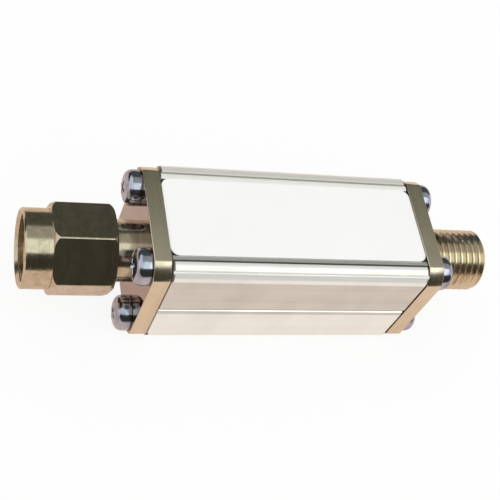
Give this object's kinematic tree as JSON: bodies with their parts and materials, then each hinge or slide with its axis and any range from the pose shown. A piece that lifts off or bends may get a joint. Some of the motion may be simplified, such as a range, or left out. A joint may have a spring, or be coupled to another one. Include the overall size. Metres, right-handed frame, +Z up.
{
  "type": "rf bandpass filter",
  "caption": "In-line coaxial bandpass filter: an extruded aluminium box with a screwed square flange at each end, a plug with a turning hex nut on one and a threaded jack on the other.",
  "frame": {"origin": "middle of the whole part in X and Y, on the plane that the flanges stand on", "axes": "+X along the connectors' common axis towards the jack, +Y across, +Z up through the label's face"},
  "size_m": [0.048, 0.0126, 0.0127],
  "materials": {
    "nickel": "nickel plate over turned brass, bright with a warm tint",
    "aluminium": "satin extrusion with fine lines along its length",
    "steel": "bright zinc plate, slightly blue",
    "gold": "gold plate",
    "label_film": "white label, satin",
    "insulator_plastic": "milky fluoropolymer",
    "rubber": "red silicone, matt",
    "laminate": "green solder resist",
    "ceramic": "fired ceramic chips"
  },
  "bodies": {
    "filter": {"housing_upper": "aluminium", "housing_lower": "aluminium", "label": "label_film", "male_connector_body": "nickel", "retaining_ring": "steel", "gasket": "rubber", "male_insulator": "insulator_plastic", "male_pin": "gold", "female_connector_body": "nickel", "female_insulator": "insulator_plastic", "female_contact": "gold", "circuit_board": "laminate", "filter_package": "ceramic", "input_capacitor": "ceramic", "output_capacitor": "ceramic", "input_inductor": "ceramic", "output_inductor": "ceramic", "male_screw_1": "steel", "male_screw_2": "steel", "male_screw_3": "steel", "male_screw_4": "steel", "female_screw_1": "steel", "female_screw_2": "steel", "female_screw_3": "steel", "female_screw_4": "steel"},
    "nut": {"coupling_nut": "nickel"}
  },
  "joints": [
    {"name": "coupling_nut_spin", "type": "hinge", "parent": "filter", "child": "nut", "pos_m": [-0.01553, 0, 0.00635], "axis": [-1, 0, 0], "continuous": true}
  ]
}
